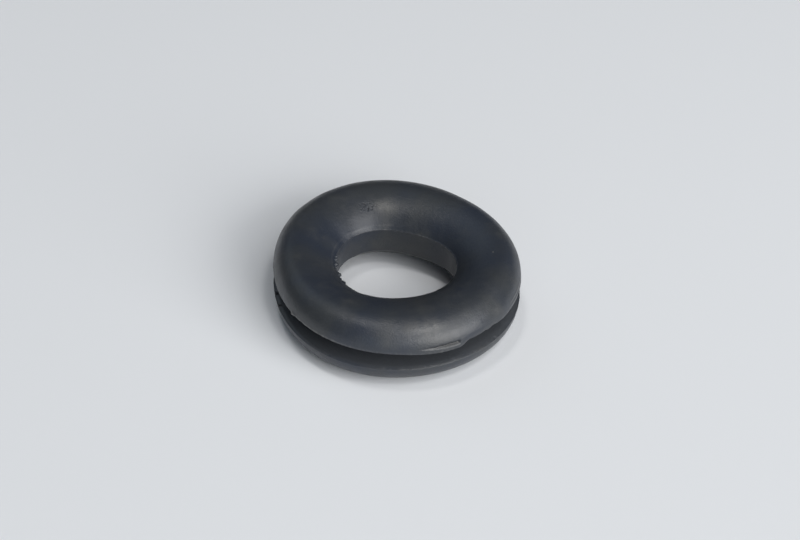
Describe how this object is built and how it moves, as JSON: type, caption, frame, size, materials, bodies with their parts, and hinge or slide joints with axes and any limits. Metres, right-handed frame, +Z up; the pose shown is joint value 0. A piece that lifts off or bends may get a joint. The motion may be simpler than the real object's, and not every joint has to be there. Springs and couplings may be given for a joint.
{
  "type": "rubber grommet",
  "caption": "Round soft rubber grommet with a smooth bore and rounded flanges; the groove between them snaps into a panel hole and guards a cable from its edge.",
  "frame": {"origin": "on the bore's axis, at the foot of the lower flange", "axes": "+Z up along the bore's axis; X and Y are free, since the part looks the same turned about Z, and the same turned over"},
  "size_m": [0.028, 0.028, 0.008],
  "materials": {
    "rubber": "moulded black rubber, satin, with a faint grey bloom"
  },
  "bodies": {
    "root": {"grommet": "rubber"}
  },
  "joints": []
}
